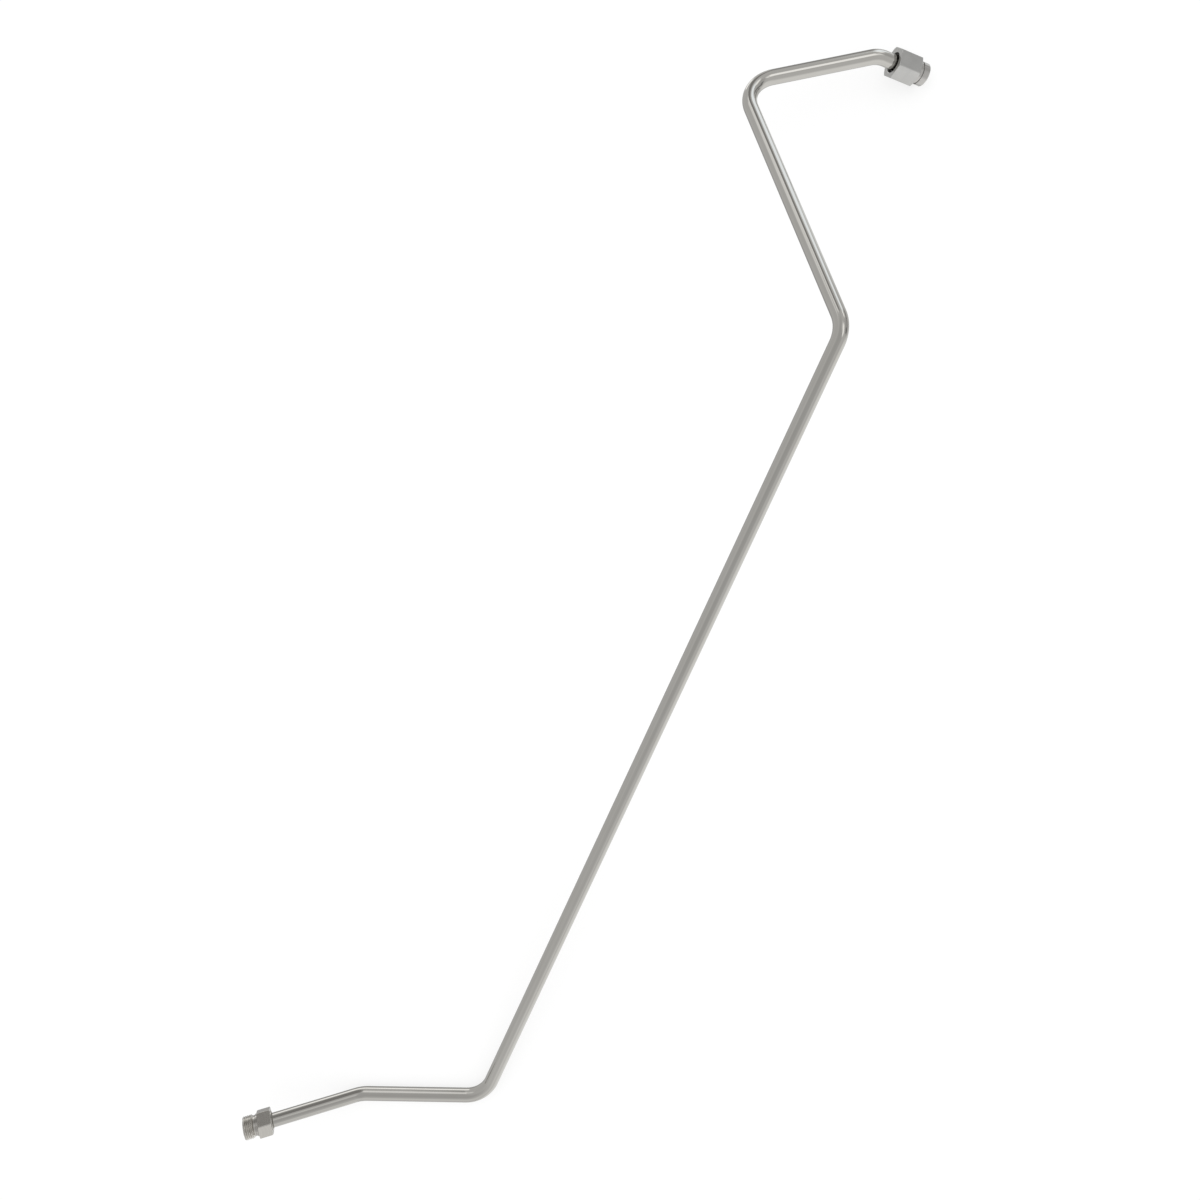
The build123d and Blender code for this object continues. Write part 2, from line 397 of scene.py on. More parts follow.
def hex_radius(across_flats, turn):
    """Radius of a hexagon at each angle, its corners rounded off a little.

    Distance of the flat over the cosine of the angle from the flat's middle;
    turn is where a corner stands, in degrees from the upmost direction. The
    rounding is a soft minimum: -s * log(exp(-a / s) + exp(-b / s)).
    """
    from_corner = np.degrees(angles) - turn
    from_flat = np.radians((from_corner + 60) % 60 - 30)
    sharp = across_flats / 2 / np.cos(from_flat)
    limit = across_flats / math.sqrt(3) - HEX_ROUNDING
    return -HEX_SOFTNESS * np.log(np.exp(-sharp / HEX_SOFTNESS) + np.exp(-limit / HEX_SOFTNESS))


def cone_rows(hexagon, face, slopes, end, way):
    """Stations on the turned-off end: way is -1 down from the top, 1 up from the bottom.

    The radius is the smaller of the hexagon and the cone, so the curved line
    where they meet comes out by itself, and the rub is highest on that line.
    """
    rows = []
    for slope in slopes:
        cone = face + slope / CONE_SLOPE
        wear_and_shade = np.clip(1 - np.abs(hexagon - cone) / LINE_FADE, 0, 1)
        height = end + way * EDGE * CONE_START + way * slope
        rows.append(station(np.minimum(hexagon, cone), height, wear_and_shade))
    return rows


def hex_rows(across_flats, face_diameter, turn, top, bottom, inner_top, inner_bottom):
    """Stations down a hexagon, its ends turned off by a cone outside the face.

    Close rows near each end trace the line where the cone meets the flats.
    """
    hexagon = hex_radius(across_flats, turn)
    face = face_diameter / 2
    depth = (across_flats / math.sqrt(3) - face) * CONE_SLOPE
    slopes = np.linspace(0, depth * CONE_REACH, CONE_ROWS)
    plain = depth * SIDE_START + EDGE
    rim = np.minimum(hexagon, face) - EDGE
    rows = [station(inner_top, top), station(rim - FADE, top), station(rim, top, RIM_RUB)]
    rows += cone_rows(hexagon, face, slopes, top, -1)
    rows += blend_rows(station(hexagon, top - plain), station(hexagon, bottom + plain), SIDE_ROWS)
    rows += cone_rows(hexagon, face, slopes[::-1], bottom, 1)
    rows += [station(rim, bottom, RIM_RUB), station(rim - FADE, bottom), station(inner_bottom, bottom)]
    return rows


# %% [markdown]
# ## The thread
#
# Both fittings have sixteen threads to the inch. A real one of this size has
# 60 degrees between its flanks; these are shallower, so theirs is wider. Rows
# at fixed heights would cut across the crests and leave them ragged, so here
# the rows climb with the thread: each keeps its place on the crest, the flank
# or the root, and rises one pitch in a turn, where it meets the row a whole
# thread higher. Both ends are clipped to a circle, and the chamfer and the
# run-out are cones that cut the thread off.

# %% Rows that follow the helix
PITCH = 25.4 / 16
THREAD_MAJOR = 20.64 / 2
THREAD_MINOR = 19.3 / 2
# The male thread is cut to this share of the depth between the two.
THREAD_SHARE = 0.95
# Shares of a pitch: half the crest's flat and half the root's.
CREST_HALF = 0.06
ROOT_HALF = 0.08
FLANK_ROWS = 5
half_thread = np.concatenate([[0.0], np.linspace(CREST_HALF, 0.5 - ROOT_HALF, FLANK_ROWS)])
THREAD_PLACES = np.concatenate([half_thread, [0.5], 1 - half_thread[:0:-1]])
ROWS_A_THREAD = len(THREAD_PLACES)


def helix_heights(top, bottom):
    """Height of every row at every angle: down by its place, up one pitch in a turn.

    The first thread starts above the top, so that it is clipped all round.
    """
    threads = np.arange(-1, math.ceil((top - bottom) / PITCH) + 1)
    places = (threads[:, None] + THREAD_PLACES).ravel()
    return np.clip(top - PITCH * (places[:, None] - angles / (2 * np.pi)), bottom, top)


def thread_depth(height, top):
    """0 on the crest, 1 at the root: the flank is straight between the two flats."""
    place = ((top - height) / PITCH + angles / (2 * np.pi)) % 1.0
    from_crest = 0.5 - np.abs(place - 0.5)
    return np.clip((from_crest - CREST_HALF) / (0.5 - ROOT_HALF - CREST_HALF), 0, 1)


def helix_meets(before, thread_rows, after, way):
    """Row that each row meets after one turn: one thread further, way +1 or -1, or itself."""
    meets = np.arange(before + thread_rows + after)
    inside = np.arange(thread_rows)
    further = inside + way * ROWS_A_THREAD
    inside = np.where((further < 0) | (further >= thread_rows), inside, further)
    meets[before : before + thread_rows] = before + inside
    return meets


print(ROWS_A_THREAD, "rows a thread at", THREAD_PLACES.round(2))

# %% The male connector
THREAD_LENGTH = 9.0
THREAD_CHAMFER = 0.9
UNDERCUT = 17.8 / 2
UNDERCUT_LENGTH = 2.2
COLLAR = 19.2 / 2
COLLAR_LENGTH = 1.5
CONNECTOR_HEX = 22.2
CONNECTOR_HEX_FACE = 24.2
CONNECTOR_HEX_LENGTH = 11.6
CONNECTOR_HEX_TURN = 8.5
BOSS = 17.0 / 2
BOSS_LENGTH = 0.8
BRAZE_GAP = 0.05
SOCKET = TUBE_OD / 2 + BRAZE_GAP
SOCKET_DEPTH = 10.0
FLOW_BORE = 9.6 / 2
RING_INSIDE = 12.42 / 2
RING_SECTION = 1.78
GROOVE_SLACK = 0.2
GROOVE_IN = RING_INSIDE - GROOVE_SLACK
GROOVE_OUT = RING_INSIDE + RING_SECTION + GROOVE_SLACK
GROOVE_DEPTH = 1.35
# The thread's clipped ends stay this far off the rows next to them.
THREAD_CLEAR = 0.02
# Depth under the crest, in millimetres, where the crest's rub has faded.
CREST_RUB = 0.3
# Mark of the neck's plain faces, between the thread and the hexagon: painted shade, lighter than in a
# corner.
NECK_PAINTED_SHADE = -0.6


def male_thread_rows():
    """Stations down the thread, cut by the chamfer's cone and the run-out's cone."""
    top = -THREAD_CLEAR
    height = helix_heights(top, THREAD_CLEAR - THREAD_LENGTH)
    depth = thread_depth(height, top) * (THREAD_MAJOR - THREAD_MINOR) * THREAD_SHARE
    chamfer = THREAD_MAJOR - THREAD_CHAMFER - height
    run_out = UNDERCUT + (height + THREAD_LENGTH)
    radius = np.minimum(THREAD_MAJOR - depth, np.minimum(chamfer, run_out))
    wear_and_shade = np.clip(1 - depth / CREST_RUB, 0, 1)
    return [station(*row) for row in zip(radius, height, wear_and_shade)]


def connector_piece():
    """Male connector: face and groove, thread, neck, hexagon, boss, socket, bore."""
    hex_top = -(THREAD_LENGTH + UNDERCUT_LENGTH + COLLAR_LENGTH)
    hex_bottom = hex_top - CONNECTOR_HEX_LENGTH
    back = hex_bottom - BOSS_LENGTH
    floor = back + SOCKET_DEPTH
    neck = -(THREAD_LENGTH + UNDERCUT_LENGTH)
    nose = THREAD_MAJOR - THREAD_CHAMFER
    face = [(FLOW_BORE, floor), (FLOW_BORE, 0), (GROOVE_IN, 0), (GROOVE_IN, -GROOVE_DEPTH)]
    face += [(GROOVE_OUT, -GROOVE_DEPTH), (GROOVE_OUT, 0), (nose, 0)]
    neck_points = [(UNDERCUT, -THREAD_LENGTH), (UNDERCUT, neck)]
    neck_points += [(COLLAR, neck), (COLLAR, hex_top), (COLLAR + RUN_ON, hex_top)]
    boss_points = [(BOSS + RUN_ON, hex_bottom), (BOSS, hex_bottom), (BOSS, back), (SOCKET, back)]
    boss_points += [(SOCKET, floor), (FLOW_BORE, floor), (FLOW_BORE, 0)]
    nose_rows, thread_rows = corner_rows(face), male_thread_rows()
    hexagon = (CONNECTOR_HEX, CONNECTOR_HEX_FACE, CONNECTOR_HEX_TURN)
    # The neck's faces are darkened with painted shade.
    rest = corner_rows(neck_points, NECK_PAINTED_SHADE)
    rest += hex_rows(*hexagon, hex_top, hex_bottom, COLLAR + FACE_START, BOSS + FACE_START)
    rest += corner_rows(boss_points)
    meets = helix_meets(len(nose_rows), len(thread_rows), len(rest), -1)
    return turned_piece("connector_body", connector_frame, nose_rows + thread_rows + rest, meets)


connector_body = connector_piece()

# %% The sleeve
SLEEVE_HEAD = 19.0 / 2
SLEEVE_HEAD_LENGTH = 6.2
SLEEVE_GROOVE = 17.4 / 2
SLEEVE_GROOVE_WIDTH = 1.2
SLEEVE_COLLAR = 18.6 / 2
SLEEVE_SHOULDER = 12.9
SLEEVE_HUB = 16.0 / 2
SLEEVE_HUB_LENGTH = 5.2
SLEEVE_FACE_WALL = 3.2
SLEEVE_EDGE = 0.5


def sleeve_piece():
    """Sleeve: flat face, grooved head, collar with its shoulder, hub and socket.

    The profile's first two points come again, so that its last corners are eased.
    """
    groove_back = -(SLEEVE_HEAD_LENGTH + SLEEVE_GROOVE_WIDTH)
    back = -(SLEEVE_SHOULDER + SLEEVE_HUB_LENGTH)
    points = [(FLOW_BORE, -SLEEVE_FACE_WALL), (FLOW_BORE, 0), (SLEEVE_HEAD - SLEEVE_EDGE, 0)]
    points += [(SLEEVE_HEAD, -SLEEVE_EDGE), (SLEEVE_HEAD, -SLEEVE_HEAD_LENGTH)]
    points += [(SLEEVE_GROOVE, -SLEEVE_HEAD_LENGTH), (SLEEVE_GROOVE, groove_back)]
    points += [(SLEEVE_COLLAR, groove_back), (SLEEVE_COLLAR, -SLEEVE_SHOULDER)]
    points += [(SLEEVE_HUB, -SLEEVE_SHOULDER), (SLEEVE_HUB, back)]
    points += [(SOCKET, back), (SOCKET, -SLEEVE_FACE_WALL)]
    points += points[:2]
    return turned_piece("sleeve_body", sleeve_frame, corner_rows(points))


sleeve_body = sleeve_piece()

# %% The swivel nut
NUT_HEX = 24.0
NUT_HEX_FACE = 25.6
NUT_LENGTH = 22.3
NUT_TURN = 31.0
NUT_MOUTH = -11.2
NUT_BACK_WALL = 3.2
NUT_SLACK = 0.3
NUT_BORE = SLEEVE_HUB + NUT_SLACK
NUT_BORE_CHAMFER = 0.5
NUT_LEAD_IN = 0.5
NUT_THREAD_CLEAR = 0.05


def nut_thread_rows(top, bottom):
    """Stations up the nut's inner thread, its crests on the minor diameter."""
    height = helix_heights(top, bottom)[::-1]
    depth = thread_depth(height, top) * (THREAD_MAJOR - THREAD_MINOR)
    lead = THREAD_MINOR + NUT_LEAD_IN - (top - height)
    radius = np.maximum(THREAD_MINOR + depth, lead)
    return [station(*row) for row in zip(radius, height, np.zeros_like(height))]


def nut_piece():
    """Swivel nut: hexagon outside, plain bore behind, thread inside."""
    back = NUT_MOUTH - NUT_LENGTH
    floor = back + NUT_BACK_WALL
    hollow = [(NUT_BORE + NUT_BORE_CHAMFER + RUN_ON, back), (NUT_BORE + NUT_BORE_CHAMFER, back)]
    hollow += [(NUT_BORE, back + NUT_BORE_CHAMFER), (NUT_BORE, floor), (THREAD_MINOR, floor)]
    mouth = THREAD_MINOR + NUT_LEAD_IN + FACE_START
    bore = NUT_BORE + NUT_BORE_CHAMFER + FACE_START
    rows = hex_rows(NUT_HEX, NUT_HEX_FACE, NUT_TURN, NUT_MOUTH, back, mouth, bore)
    rows += corner_rows(hollow)
    thread_rows = nut_thread_rows(NUT_MOUTH, floor + NUT_THREAD_CLEAR)
    meets = helix_meets(len(rows), len(thread_rows), 0, 1)
    return turned_piece("hex_nut", sleeve_frame, rows + thread_rows, meets)


hex_nut = nut_piece()

# %% [markdown]
# ## The ring and the braze
#
# The O-ring is a circle carried round the axis, with the faint line where its
# mould halves met. The braze is what the molten metal leaves in a corner: a
# fillet with a hollow side, a little uneven round the tube.

# %% O-ring and braze fillets
RING_MIDDLE = RING_INSIDE + RING_SECTION / 2
RING_ROWS = 40
# The ring rests this far above the groove's floor.
RING_SEAT = 0.02
# Height of the mould line, and its width as a sine of the angle round the section.
FLASH_HEIGHT = 0.012
FLASH_WIDTH = 0.08
FILLET_LEG = 0.9
FILLET_ROWS = 12
FILLET_GAP = 0.02
# The fillet shrinks by up to twice this share of itself, in slow waves round the tube.
FILLET_UNEVEN = 0.05


def ring_piece():
    """O-ring: middle radius plus the section's circle, with a low mould line."""
    turn = np.linspace(0, 2 * np.pi, RING_ROWS, endpoint=False)
    flash = FLASH_HEIGHT * np.exp(-((np.sin(turn) / FLASH_WIDTH) ** 2))
    section = RING_SECTION / 2 - FLASH_HEIGHT + flash
    height = RING_SECTION / 2 + RING_SEAT - GROOVE_DEPTH
    rows = []
    for reach, angle in zip(section, turn):
        rows.append(station(RING_MIDDLE + reach * math.cos(angle), height + reach * math.sin(angle)))
    return turned_piece("seal_ring", connector_frame, rows)


def fillet_piece(name, place, back):
    """Braze fillet in the corner of a back face and the tube.

    Its side is a hollow quarter circle, (1 - sin, 1 - cos) times the leg, and
    the leg's length changes as 1 + sin(3 angle + 0.7) * cos(5 angle).
    """
    inner = TUBE_OD / 2 + FILLET_GAP
    seat = -back - FILLET_GAP
    uneven = 1 - FILLET_UNEVEN * (1 + np.sin(3 * angles + 0.7) * np.cos(5 * angles))
    leg = FILLET_LEG * uneven
    rows = [station(inner, seat), station(inner + leg, seat)]
    for turn in np.linspace(0, math.pi / 2, FILLET_ROWS)[1:-1]:
        rows.append(station(inner + leg * (1 - math.sin(turn)), seat - leg * (1 - math.cos(turn))))
    rows.append(station(inner, seat - leg))
    return turned_piece(name, place, rows)


CONNECTOR_BACK = THREAD_LENGTH + UNDERCUT_LENGTH + COLLAR_LENGTH + CONNECTOR_HEX_LENGTH + BOSS_LENGTH
seal_ring = ring_piece()
connector_fillet = fillet_piece("connector_fillet", connector_frame, CONNECTOR_BACK)
sleeve_fillet = fillet_piece("sleeve_fillet", sleeve_frame, SLEEVE_SHOULDER + SLEEVE_HUB_LENGTH)

# %% [markdown]
# ## Patterns that several finishes share
#
# Bright plated steel is not even. A tube is drawn through a die, which leaves
# fine lines along it; a lathe leaves fine lines round a part; plating lies a
# little darker or lighter from place to place; and hands leave the metal
# duller in smudges and brighter on the edges. Shade is also painted into the
# colour of inner corners. Small node groups put these out as numbers: one for
# lines, one for plating and smudges, one for worn edges and the painted shade
# in corners. So every metal can use them in its own measure. A photograph of
# metal would be quicker, but it repeats and blurs.


# %% Node helpers
def new_group(name, inputs, outputs):
    """Shader node group with float inputs {name: default} and float outputs."""
    group = bpy.data.node_groups.new(name, "ShaderNodeTree")
    for label, default in inputs.items():
        socket = group.interface.new_socket(label, in_out="INPUT", socket_type="NodeSocketFloat")
        socket.default_value = default
    for label in outputs:
        group.interface.new_socket(label, in_out="OUTPUT", socket_type="NodeSocketFloat")
    return group, group.nodes.new("NodeGroupInput"), group.nodes.new("NodeGroupOutput")


def add_node(tree, kind, sockets=None, **settings):
    """One node with its settings. Each named socket takes a value, or a link from a socket."""
    node = tree.nodes.new(kind)
    for label, value in settings.items():
        setattr(node, label, value)
    for label, given in (sockets or {}).items():
        if isinstance(given, bpy.types.NodeSocket):
            tree.links.new(given, node.inputs[label])
        else:
            node.inputs[label].default_value = given
    return node


def reckon(tree, operation, *terms):
    """Result of a Math node on numbers and sockets."""
    return add_node(tree, "ShaderNodeMath", dict(enumerate(terms)), operation=operation).outputs[0]


def ranged(tree, value, start=0.0, end=1.0, to=(0.0, 1.0), **settings):
    """Result of a Map Range node: start becomes to[0], end becomes to[1]."""
    ends = {"Value": value, "From Min": start, "From Max": end, "To Min": to[0], "To Max": to[1]}
    return add_node(tree, "ShaderNodeMapRange", ends, **settings).outputs[0]


def noise(tree, place, **look):
    """Result of a Noise Texture node at a place; its other sockets are given by name."""
    return add_node(tree, "ShaderNodeTexNoise", {"Vector": place, **look}).outputs[0]


# %% Fine lines of drawing and turning
# The product of the two noises between these ends is spread from 0 to 1.
LINES_ENDS = (0.12, 0.38)


def lines_group():
    """Noise squeezed along one direction of the straight bar, as drawn or turned lines.

    Along and Across are counts per metre on the bar's own numbers. Lines is the
    result from 0 to 1, with a broader noise that makes bands of them fade.
    """
    group, given, put = new_group("fine_lines", {"Along": 20.0, "Across": 4000.0}, ["Lines"])
    bar = add_node(group, "ShaderNodeAttribute", attribute_name="straight").outputs["Vector"]
    along, across = given.outputs["Along"], given.outputs["Across"]
    squeeze = add_node(group, "ShaderNodeCombineXYZ", {"X": along, "Y": across, "Z": across}).outputs[0]
    place = add_node(group, "ShaderNodeVectorMath", {0: bar, 1: squeeze}, operation="MULTIPLY").outputs[0]
    fine = noise(group, place, Scale=1.0, Detail=3.0, Roughness=0.6)
    broad = noise(group, place, Scale=0.13, Detail=1.0)
    lines = ranged(group, reckon(group, "MULTIPLY", fine, broad), *LINES_ENDS)
    group.links.new(lines, put.inputs["Lines"])
    return group


# %% Plating, smudges and rubbed edges
# Smudges are this many times finer than the plating's patches.
SMUDGE_FINER = 2.6
# Noise between these ends is spread from 0 to 1, for smudges and for patchy wear.
SMUDGE_ENDS = (0.5, 0.72)
PATCH_ENDS = (0.32, 0.6)


def plating_group():
    """Slow noise over the object's own coordinates: Tone of the plating, and Smudge."""
    group, given, put = new_group("plating", {"Size": 0.03}, ["Tone", "Smudge"])
    object_place = add_node(group, "ShaderNodeTexCoord").outputs["Object"]
    count = reckon(group, "DIVIDE", 1.0, given.outputs["Size"])
    tone = noise(group, object_place, Scale=count, Detail=3.0, Roughness=0.55)
    finer = reckon(group, "MULTIPLY", count, SMUDGE_FINER)
    smudge = noise(group, object_place, Scale=finer, Detail=5.0, Roughness=0.65, Distortion=0.6)
    group.links.new(tone, put.inputs["Tone"])
    group.links.new(ranged(group, smudge, *SMUDGE_ENDS), put.inputs["Smudge"])
    return group


def wear_and_shade_group():
    """The mark of wear and shade from the mesh: edges worn bright, broken up by noise, and shade painted
    into inner corners.
    """
    group, given, put = new_group("wear_and_painted_shade", {"Amount": 1.0}, ["Wear", "PaintedShade"])
    wear_and_shade = add_node(group, "ShaderNodeAttribute", attribute_name="wear_and_shade").outputs["Fac"]
    # Painted shade: 1 where the mark is -1, in inner corners, and less on the connector's neck.
    painted_shade = ranged(group, wear_and_shade, 0.0, -1.0)
    object_place = add_node(group, "ShaderNodeTexCoord").outputs["Object"]
    patchy = ranged(group, noise(group, object_place, Scale=420.0, Detail=3.0), *PATCH_ENDS)
    both = reckon(group, "MULTIPLY", wear_and_shade, patchy)
    worn = reckon(group, "MULTIPLY", both, given.outputs["Amount"])
    group.links.new(reckon(group, "MAXIMUM", worn, 0.0), put.inputs["Wear"])
    group.links.new(painted_shade, put.inputs["PaintedShade"])
    return group


fine_lines, plating, wear_and_painted_shade = lines_group(), plating_group(), wear_and_shade_group()
print("node groups", [group.name for group in (fine_lines, plating, wear_and_painted_shade)])

# %% [markdown]
# ## Metal finishes
#
# One function makes each bright metal. The base colour is darkened a little
# by the plating's tone and by the floor of the fine lines, lightened on worn
# edges, and darkened with painted shade in inner corners and on the connector's
# neck. Smudges raise the roughness. The lines also go through a Bump node,
# because it is their slopes that smear a reflection across the grain.

# %% Colours and groups in a material
def add_group(tree, group, **values):
    """Outputs of a node group that stands in a material with its own values."""
    return add_node(tree, "ShaderNodeGroup", values, node_tree=group).outputs


def blend_colours(tree, share, first, second):
    """Colour mix: first where share is 0, second where it is 1."""
    node = add_node(tree, "ShaderNodeMix", {"Factor": share}, data_type="RGBA")
    for label, colour in (("A", first), ("B", second)):
        socket = [s for s in node.inputs if s.name == label and s.type == "RGBA"][0]
        if isinstance(colour, tuple):
            socket.default_value = (*colour, 1.0)
        else:
            tree.links.new(colour, socket)
    return [s for s in node.outputs if s.type == "RGBA"][0]


def times(colour, factor):
    """Colour times a factor, no part of it over 1."""
    return tuple(min(1.0, part * factor) for part in colour)


# %% A bright metal
# Size of the plating's patches in metres, and the tint of its darker tone.
PLATING_SIZE = 0.03
DARK_TINT = (0.93, 0.92, 0.9)
# Share of the darker colour on the floor of a line, and that colour's factor.
LINE_SHARE = 0.22
LINE_DARK = 0.6
LINE_BUMP = 0.6
# How much wear shows, the colour's factor on worn edges, and its factor for the shade painted into inner
# corners.
WEAR_AMOUNT = 1.0
WORN_BRIGHT = 1.3
PAINTED_SHADE_DARK = 0.55
# The roughness's factor on clean plating and on a smudge.
CLEAN_ROUGH = 0.95
SMUDGE_ROUGH = 1.12


def steel(name, colour, rough, along, across, depth):
    """Plated steel: base colour, roughness, lines per metre along and across, line depth in mm."""
    material = bpy.data.materials.new(name)
    material.use_nodes = True
    tree = material.node_tree
    metal = tree.nodes["Principled BSDF"]
    metal.inputs["Metallic"].default_value = 1.0
    lines = add_group(tree, fine_lines, Along=along, Across=across)["Lines"]
    plate = add_group(tree, plating, Size=PLATING_SIZE)
    wear_and_shade_marks = add_group(tree, wear_and_painted_shade, Amount=WEAR_AMOUNT)
    darker = tuple(c * t for c, t in zip(colour, DARK_TINT))
    toned = blend_colours(tree, plate["Tone"], colour, darker)
    deep = ranged(tree, lines, to=(LINE_SHARE, 0.0))
    lined = blend_colours(tree, deep, toned, times(colour, LINE_DARK))
    bright = blend_colours(tree, wear_and_shade_marks["Wear"], lined, times(colour, WORN_BRIGHT))
    # Painted shade: the colour is darkened in inner corners and on the connector's neck.
    with_painted_shade = blend_colours(tree, wear_and_shade_marks["PaintedShade"], bright, times(colour, PAINTED_SHADE_DARK))
    tree.links.new(with_painted_shade, metal.inputs["Base Color"])
    smudged = ranged(tree, plate["Smudge"], to=(rough * CLEAN_ROUGH, rough * SMUDGE_ROUGH))
    tree.links.new(smudged, metal.inputs["Roughness"])
    grooves = {"Strength": LINE_BUMP, "Distance": depth * MM, "Height": lines}
    tree.links.new(add_node(tree, "ShaderNodeBump", grooves).outputs[0], metal.inputs["Normal"])
    return material


# %% The five metals
tube_finish = steel("drawn_tube", (0.52, 0.51, 0.485), rough=0.1, along=6.0, across=2600.0, depth=0.0015)
connector_finish = steel(
    "turned_connector", (0.56, 0.545, 0.515), rough=0.2, along=5200.0, across=60.0, depth=0.0015
)
sleeve_finish = steel(
    "turned_sleeve", (0.49, 0.48, 0.465), rough=0.16, along=5200.0, across=60.0, depth=0.0012
)
nut_finish = steel("satin_nut", (0.51, 0.51, 0.5), rough=0.3, along=900.0, across=900.0, depth=0.0015)
braze_finish = steel("frozen_braze", (0.22, 0.21, 0.185), rough=0.4, along=500.0, across=500.0, depth=0.01)
metals = (tube_finish, connector_finish, sleeve_finish, nut_finish, braze_finish)
print("metals", [metal.name for metal in metals])

# %% [markdown]
# ## Rubber
#
# The ring is matt black moulded rubber with a bloom of oil. It is no metal, so
# it has a material of its own with a fine grain and a faint sheen.

# %% Rubber finish
RUBBER_BLACK = (0.012, 0.012, 0.013)
RUBBER_BLOOM = (0.035, 0.034, 0.033)
# Roughness where the slow noise is low and where it is high.
RUBBER_ROUGH = (0.62, 0.4)
# Size of the bloom's patches in metres, and grains per metre.
BLOOM_SIZE = 0.006
GRAIN_COUNT = 9000.0
# Depth of the grain in millimetres, and how strongly it shows.
GRAIN_DEPTH = 0.01
GRAIN_BUMP = 0.4


def rubber(name):
    """Black rubber: grain as bump, and grey bloom where a slow noise is high."""
    material = bpy.data.materials.new(name)
    material.use_nodes = True
    tree = material.node_tree
    shader = tree.nodes["Principled BSDF"]
    plate = add_group(tree, plating, Size=BLOOM_SIZE)
    bloom = blend_colours(tree, plate["Smudge"], RUBBER_BLACK, RUBBER_BLOOM)
    tree.links.new(bloom, shader.inputs["Base Color"])
    tree.links.new(ranged(tree, plate["Tone"], to=RUBBER_ROUGH), shader.inputs["Roughness"])
    grain = add_group(tree, fine_lines, Along=GRAIN_COUNT, Across=GRAIN_COUNT)["Lines"]
    pits = {"Strength": GRAIN_BUMP, "Distance": GRAIN_DEPTH * MM, "Height": grain}
    tree.links.new(add_node(tree, "ShaderNodeBump", pits).outputs[0], shader.inputs["Normal"])
    return material


ring_finish = rubber("oiled_rubber")
print("rubber", ring_finish.name)

# %% [markdown]
# ## Joining the pieces to the model
#
# Each piece stands for one node of the model, takes a finish of its own and
# rides on its body. The nut rides on its own body, because it turns.

# %% Ride, replace and finish
fitted = (
    (bent_tube, "steel_tube", "line", "tube_steel", tube_finish),
    (connector_body, "male_connector", "line", "connector_steel", connector_finish),
    (seal_ring, "face_seal_ring", "line", "ring_rubber", ring_finish),
    (connector_fillet, "connector_braze", "line", "braze_metal", braze_finish),
    (sleeve_body, "flat_face_sleeve", "line", "sleeve_steel", sleeve_finish),
    (sleeve_fillet, "sleeve_braze", "line", "braze_metal", braze_finish),
    (hex_nut, "swivel_nut", "nut", "nut_steel", nut_finish),
)
for piece, node, body, slot, finish in fitted:
    piece.data.materials.append(finish)
    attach(piece, body)
    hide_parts(node)
    low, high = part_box(node)
    points = np.empty(len(piece.data.vertices) * 3, np.float32)
    piece.data.vertices.foreach_get("co", points)
    points = points.reshape(-1, 3)
    beyond = max((np.array(low) - points.min(0)).max(), (points.max(0) - np.array(high)).max())
    print(piece.name, "is beyond its node's box by", round(beyond / MM, 3), "mm")

# %% [markdown]
# ## Floor and studio
#
# The floor is plain, pale and large. Rays from the camera also get a steady
# glow from it, so it reads as white paper while the light stays gentle; the
# glow is a little under white without the light that falls on the floor, so a
# soft shadow stays under the tube. Rays that bounce off the metal pass through
# the floor and see the lower half of the studio instead, because the bench of
# such a photograph has dark and bright places that a plain floor would hide.

# %% Floor
# Half the floor's side in metres, its matt colour, and its glow.
FLOOR_HALF = 6.0
FLOOR_ALBEDO = 0.3
FLOOR_GLOW = 0.73


def shown_rays(tree):
    """1 for camera, glossy and transmission rays, else 0."""
    path = add_node(tree, "ShaderNodeLightPath").outputs
    shown = path["Is Camera Ray"]
    for label in ("Is Glossy Ray", "Is Transmission Ray"):
        shown = reckon(tree, "MAXIMUM", shown, path[label])
    return shown


def pale_floor():
    """Square of matt paper that glows for the rays that show it, out of the metal's sight."""
    mesh = bpy.data.meshes.new("floor")
    corners = [(x, y, 0) for x, y in ((-1, -1), (1, -1), (1, 1), (-1, 1))]
    mesh.from_pydata((np.array(corners) * FLOOR_HALF).tolist(), [], [(0, 1, 2, 3)])
    material = bpy.data.materials.new("pale_paper")
    material.use_nodes = True
    tree = material.node_tree
    tree.nodes.clear()
    matt = add_node(tree, "ShaderNodeBsdfDiffuse", {"Color": (FLOOR_ALBEDO, FLOOR_ALBEDO, FLOOR_ALBEDO, 1)})
    strength = reckon(tree, "MULTIPLY", shown_rays(tree), FLOOR_GLOW)
    glow = add_node(tree, "ShaderNodeEmission", {"Strength": strength})
    both = add_node(tree, "ShaderNodeAddShader", {0: matt.outputs[0], 1: glow.outputs[0]})
    add_node(tree, "ShaderNodeOutputMaterial", {"Surface": both.outputs[0]})
    mesh.materials.append(material)
    floor = bpy.data.objects.new("floor", mesh)
    floor.visible_glossy = False
    bpy.context.scene.collection.objects.link(floor)
    floor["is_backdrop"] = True


pale_floor()
print("floor", 2 * FLOOR_HALF, "m wide")

# %% [markdown]
# ## Light from all round
#
# Polished metal shows what stands round it, so the studio itself is what gives
# it form. The world is a plain grey tent with soft rectangles on it: softboxes
# are brighter than the tent, and dark cards are darker. Each has a direction,
# given as azimuth and elevation, a half width and half height as tangents, and
# a level. Lamps as objects would do, but a tent looks the same all along a
# line more than a metre long, as the photograph's studio does. Only rays that
# bounce off shiny surfaces see the tent; all others meet plain white light, so
# the floor is lit evenly.

# %% The studio tent
TENT_LEVEL = 0.74
# A panel fades in between these cosines of the angle from its middle, so it has no twin behind.
FRONT_ENDS = (0.05, 0.15)
